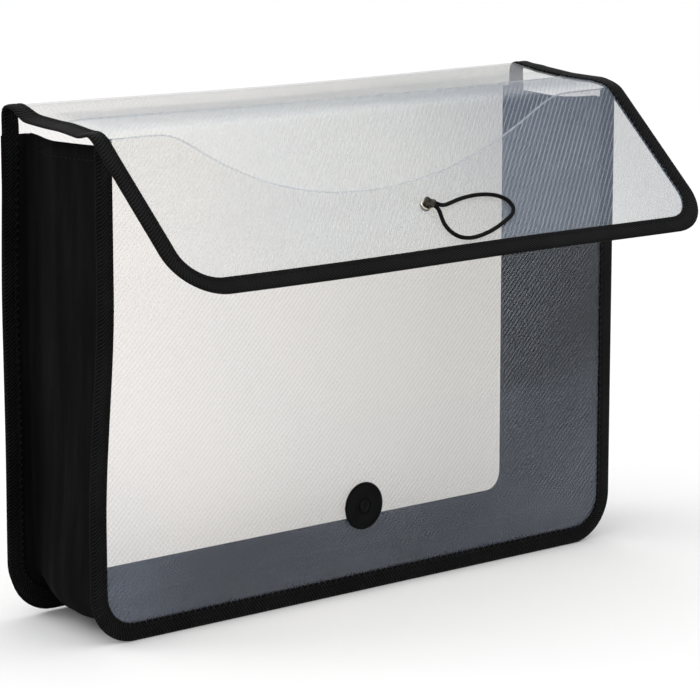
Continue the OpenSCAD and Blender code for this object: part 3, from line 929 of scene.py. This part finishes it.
def tape_material():
    """Woven edge tape: a herringbone of fine diagonal threads, with a corded inner edge. The
    threads' raised tops are coloured lighter: painted highlights.
    """
    shader = Shader("edge_tape")
    along, across = shader.uv()
    away = shader.math("ABSOLUTE", across)
    slant = shader.math("MULTIPLY", away, 2 * math.pi / TWILL_SLANT)
    run = shader.math("MULTIPLY", along, 2 * math.pi / TWILL_PITCH)
    twill = shader.math("SINE", shader.math("ADD", run, slant))
    weave = shader.math("MULTIPLY_ADD", shader.sine(away, 0.0005), 0.18, twill)
    cords = shader.math("MULTIPLY", shader.sine(along, 2 * TWILL_PITCH),
                        shader.ramp(away, *CORD_EDGE))
    height = shader.math("MULTIPLY_ADD", cords, 1.6, weave)
    fuzz = shader.noise(2600.0, 2.0)
    cloud = shader.noise(45.0, 3.0)
    # Painted highlight: the colour is lighter where the weave stands high; the cloud adds random
    # tone.
    light = shader.math("MULTIPLY_ADD", shader.ramp(height, -0.6, 1.6), 0.8, 0.0)
    light = shader.math("ADD", light, shader.ramp(cloud, 0.3, 0.7, 0.0, 0.2))
    colour = shader.colour(light, (0.0006, 0.0006, 0.0007), (0.0145, 0.0145, 0.0150))
    normal = shader.bump(fuzz, 0.0001, 0.25)
    normal = shader.bump(height, 0.00022, 1.0, under=normal)
    return shader.principled(colour, 0.5, normal, Specular_IOR_Level=0.05,
                             Sheen_Weight=0.004, Sheen_Roughness=0.5)


def fabric_material():
    """Plain-woven black gusset cloth, slightly creased."""
    shader = Shader("gusset_cloth")
    depth, way = shader.uv()
    weave = shader.math("MULTIPLY", shader.sine(depth, 0.0007), shader.sine(way, 0.0008))
    point = shader.node("CombineXYZ", {0: shader.math("MULTIPLY", depth, 160.0),
                                       1: shader.math("MULTIPLY", way, 14.0)})
    streak = shader.noise(1.0, 4.0, point.outputs[0], 0.6)
    crumple = shader.noise(60.0, 4.0)
    light = shader.math("MULTIPLY_ADD", shader.ramp(streak, 0.35, 0.75), 0.7, 0.0)
    light = shader.math("MULTIPLY_ADD", weave, 0.2, light)
    colour = shader.colour(light, (0.0044, 0.0044, 0.0046), (0.0095, 0.0095, 0.0100))
    normal = shader.bump(crumple, 0.0022, 0.35)
    normal = shader.bump(weave, 0.00007, 0.7, under=normal)
    return shader.principled(colour, 0.85, normal, Specular_IOR_Level=0.015,
                             Sheen_Weight=0.004, Sheen_Roughness=0.6)


def thread_material():
    """Black sewing thread with its twist, whose bands are coloured lighter: a painted sheen."""
    shader = Shader("thread")
    place = shader.node("TexCoord").outputs["Object"]
    twist = shader.node("TexWave", {"Vector": place, "Scale": 900.0, "Distortion": 1.0},
                        bands_direction="DIAGONAL").outputs["Fac"]
    # Painted sheen: the twist's bands are coloured lighter.
    colour = shader.colour(twist, (0.003, 0.003, 0.003), (0.011, 0.011, 0.0115))
    normal = shader.bump(twist, 0.00006, 0.8)
    return shader.principled(colour, 0.6, normal, Specular_IOR_Level=0.08)


def plastic_material(name, dark, light, roughness, grain):
    """Moulded black plastic with a fine grain and slight wear."""
    shader = Shader(name)
    speck = shader.noise(1500.0, 3.0)
    cloud = shader.noise(120.0, 3.0)
    colour = shader.colour(shader.ramp(cloud, 0.3, 0.7), dark, light)
    rough = shader.ramp(cloud, 0.3, 0.75, roughness - 0.06, roughness + 0.08)
    normal = shader.bump(speck, 0.00004, grain)
    return shader.principled(colour, rough, normal, Specular_IOR_Level=0.03)


def metal_material(name, dark, light, roughness):
    """Plated metal with faint scratches and duller patches."""
    shader = Shader(name)
    cloud = shader.noise(500.0, 3.0)
    scratch = shader.noise(2500.0, 4.0)
    colour = shader.colour(shader.ramp(cloud, 0.3, 0.75), dark, light)
    rough = shader.ramp(scratch, 0.3, 0.7, roughness - 0.05, roughness + 0.1)
    normal = shader.bump(scratch, 0.00003, 0.5)
    return shader.principled(colour, rough, normal, Metallic=1.0)


BRAID_PITCH = 0.0011


def elastic_material():
    """Braided black elastic."""
    shader = Shader("elastic_cord")
    along, turn = shader.uv()
    run = shader.math("MULTIPLY", along, 2 * math.pi / BRAID_PITCH)
    left = shader.math("SINE", shader.math("MULTIPLY_ADD", turn, 8 * math.pi, run))
    right = shader.math("SINE", shader.math("MULTIPLY_ADD", turn, -8 * math.pi, run))
    braid = shader.math("MAXIMUM", left, right)
    colour = shader.colour(shader.ramp(braid, -0.4, 1.0), (0.0016, 0.0016, 0.0016),
                           (0.009, 0.009, 0.0095))
    normal = shader.bump(braid, 0.00012, 0.8)
    return shader.principled(colour, 0.7, normal, Specular_IOR_Level=0.05, Sheen_Weight=0.004)


def floor_material():
    shader = Shader("pale_floor")
    colour = shader.colour(shader.noise(0.8, 2.0), (0.93, 0.93, 0.93), (0.95, 0.95, 0.95))
    return shader.finish(shader.node("BsdfPrincipled", {
        "Base Color": colour, "Roughness": 0.95, "Specular IOR Level": 0.0}))


# ------------------------------------------------------------------ assembly

def paint(obj, material):
    obj.data.materials.clear()
    obj.data.materials.append(material)
    return obj


def hold(obj, part, *nodes):
    """Hides the CAD nodes that a piece of the front, the back or the flap replaces. The front's
    pieces go with the front's body; the others keep their shape, baked in place."""
    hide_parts(*nodes)
    if part == "front":
        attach(obj, "front")
    elif part == "back":
        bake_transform(obj)
    else:
        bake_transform(obj)


def build_elastic():
    cord, line, length = make_elastic()
    crimp = make_crimp()
    paint(cord, elastic_material())
    paint(crimp, metal_material("crimp_metal", (0.03, 0.028, 0.024), (0.09, 0.08, 0.07), 0.42))
    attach(cord, "elastic")
    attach(crimp, "elastic")
    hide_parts("elastic_loop")
    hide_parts("elastic_crimp")


def build_films():
    back_half, back_rim = sheet_film("film_back", FILM_INSET, SPLIT, CORNER_R, 0)
    flap_half, flap_rim = sheet_film("film_flap", SPLIT, LENGTH - FILM_INSET, FLAP_CORNER_R,
                                     LENGTH)
    panel, front_rim = front_film("film_front")
    back_look = film_material("film_back", ((0.950, 0.942, 0.930), (0.785, 0.780, 0.765)),
                              (-0.165, 0.15), 0.012, 0.03, painted_shade_below=TOP_FOLD.z)
    # Painted light: the flap is the same sheet as the back and the front, but its haze between the
    # ribs is far higher, for the light that its upturned face catches from above.
    flap_look = film_material("film_flap", ((1.0, 0.990, 0.955), (0.79, 0.785, 0.770)),
                              (-0.02, 0.165), 0.100, 0.14)
    front_look = film_material("film_front", ((0.990, 0.973, 0.958), (0.975, 0.965, 0.952)),
                               (-0.165, 0.15), 0.020, 0.14, 0.05, 0.025)
    edge = film_edge_material()
    for obj, rim, look in ((back_half, back_rim, back_look), (flap_half, flap_rim, flap_look),
                           (panel, front_rim, front_look)):
        paint(obj, look)
        obj.data.materials.append(edge)
        obj.data.polygons.foreach_set("material_index", rim.astype(np.int32))
    cut_hole(flap_half, EYELET, FLAP_OUT)
    cut_hole(panel, (BUTTON.x, 0, BUTTON.z), FORWARD)
    hold(back_half, "back", "back_panel", "top_panel")
    hold(flap_half, "flap", "flap_panel")
    hold(panel, "front", "front_panel")


TAPE_STEP = 0.0015           # between the tapes' rings of points
FRONT_SEAM_ENDS = 0.002      # left without stitches at the front tape's two ends


def build_tapes(cloth, thread):
    front_edge = u_curve(HALF_W, 0, FRONT_H, CORNER_R, TAPE_STEP)
    back_edge = u_curve(HALF_W, 0, SPLIT, CORNER_R, TAPE_STEP)
    flap_edge = from_flap_end(u_curve(HALF_W, 0, LENGTH - SPLIT, FLAP_CORNER_R, TAPE_STEP))
    parts = [("front", front, front_edge, front_layers, FRONT_SEAM_ENDS),
             ("back", sheet, back_edge, back_layers, 0.0),
             ("flap", sheet, flap_edge, single_layer, 0.0)]
    top_tapes = ["top_binding_left", "top_binding_right"]
    for part, surface, edge, layers, _ in parts:
        strip = paint(tape("tape_" + part, surface, edge, layers), cloth)
        hold(strip, part, part + "_binding", *(top_tapes if part == "back" else []))
    for part, surface, edge, layers, bare_ends in parts:
        row = edge_seam("seam_" + part, surface, edge, layers, bare_ends)
        hold(paint(row, thread), part, part + "_stitching",
             *(["top_stitching"] if part == "back" else []))


def build_gusset(thread):
    cloth = fabric_material()
    gusset, flat = make_gusset()
    hems = [make_hem("hem_left", -1), make_hem("hem_right", 1)]
    seam = make_hem_seam("seam_hems")
    for obj in [gusset] + hems:
        paint(obj, cloth)
    paint(seam, thread)
    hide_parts("gusset")
    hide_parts("gusset_hem_left")
    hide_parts("gusset_hem_right")
    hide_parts("gusset_stitching")
    for obj in [gusset, seam] + hems:
        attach(obj, "back")
        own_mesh(obj)


def build_fittings():
    button = paint(make_button(), plastic_material(
        "button_plastic", (0.0030, 0.0032, 0.0032), (0.0062, 0.0065, 0.0065), 0.5, 0.5))
    rivet = paint(make_rivet(), plastic_material(
        "rivet_black", (0.004, 0.004, 0.004), (0.008, 0.008, 0.008), 0.32, 0.3))
    washer = paint(make_washer(), plastic_material(
        "washer_plastic", (0.014, 0.014, 0.014), (0.024, 0.024, 0.024), 0.5, 0.5))
    eyelet = paint(make_eyelet(), metal_material(
        "eyelet_metal", (0.55, 0.50, 0.40), (0.80, 0.75, 0.62), 0.22))
    for obj, body, node in ((button, "button", "button_disc"), (rivet, "front", "button_rivet"),
                            (washer, "front", "rivet_washer"), (eyelet, "flap", "flap_eyelet")):
        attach(obj, body)
        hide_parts(node)


# ------------------------------------------------------------------ studio

def make_floor():
    line = np.linspace(-14, 14, 9)
    points = [(x, y, 0.0) for y in line for x in line]
    floor = mesh_object("floor", points, grid_faces(len(line), len(line)))
    paint(floor, floor_material())


WORLD_LOW = 0.40             # the world's brightness below, and overhead
WORLD_HIGH = 1.76


def make_world():
    """White all round, brighter overhead, like a studio with a ceiling softbox."""
    world = bpy.data.worlds.new("studio")
    world.use_nodes = True
    tree = world.node_tree
    tree.nodes.clear()
    place = tree.nodes.new("ShaderNodeTexCoord")
    split = tree.nodes.new("ShaderNodeSeparateXYZ")
    ramp = tree.nodes.new("ShaderNodeMapRange")
    ramp.inputs["To Min"].default_value = WORLD_LOW
    ramp.inputs["To Max"].default_value = WORLD_HIGH
    light = tree.nodes.new("ShaderNodeBackground")
    output = tree.nodes.new("ShaderNodeOutputWorld")
    tree.links.new(place.outputs["Generated"], split.inputs[0])
    tree.links.new(split.outputs["Z"], ramp.inputs["Value"])
    tree.links.new(ramp.outputs[0], light.inputs["Strength"])
    tree.links.new(light.outputs[0], output.inputs["Surface"])
    bpy.context.scene.world = world


def softbox(name, place, target, size, power):
    data = bpy.data.lights.new(name, "AREA")
    data.shape = "SQUARE"
    data.size = size
    data.energy = power
    light = bpy.data.objects.new(name, data)
    light.location = place
    way = Vector(target) - Vector(place)
    light.rotation_euler = way.to_track_quat("-Z", "Y").to_euler()
    bpy.context.scene.collection.objects.link(light)


def build_studio():
    make_floor()
    make_world()
    softbox("left_key", (-1.9, -0.7, 1.5), target=(0, 0, 0.15), size=1.2, power=4)
    softbox("floor_glow", (-1.6, 1.3, 1.5), target=(-0.7, 0.9, 0), size=1.2, power=10)
    bpy.context.scene.view_settings.view_transform = "Standard"


build_elastic()
build_films()
seam_thread = thread_material()
build_tapes(tape_material(), seam_thread)
build_gusset(seam_thread)
build_fittings()
build_studio()
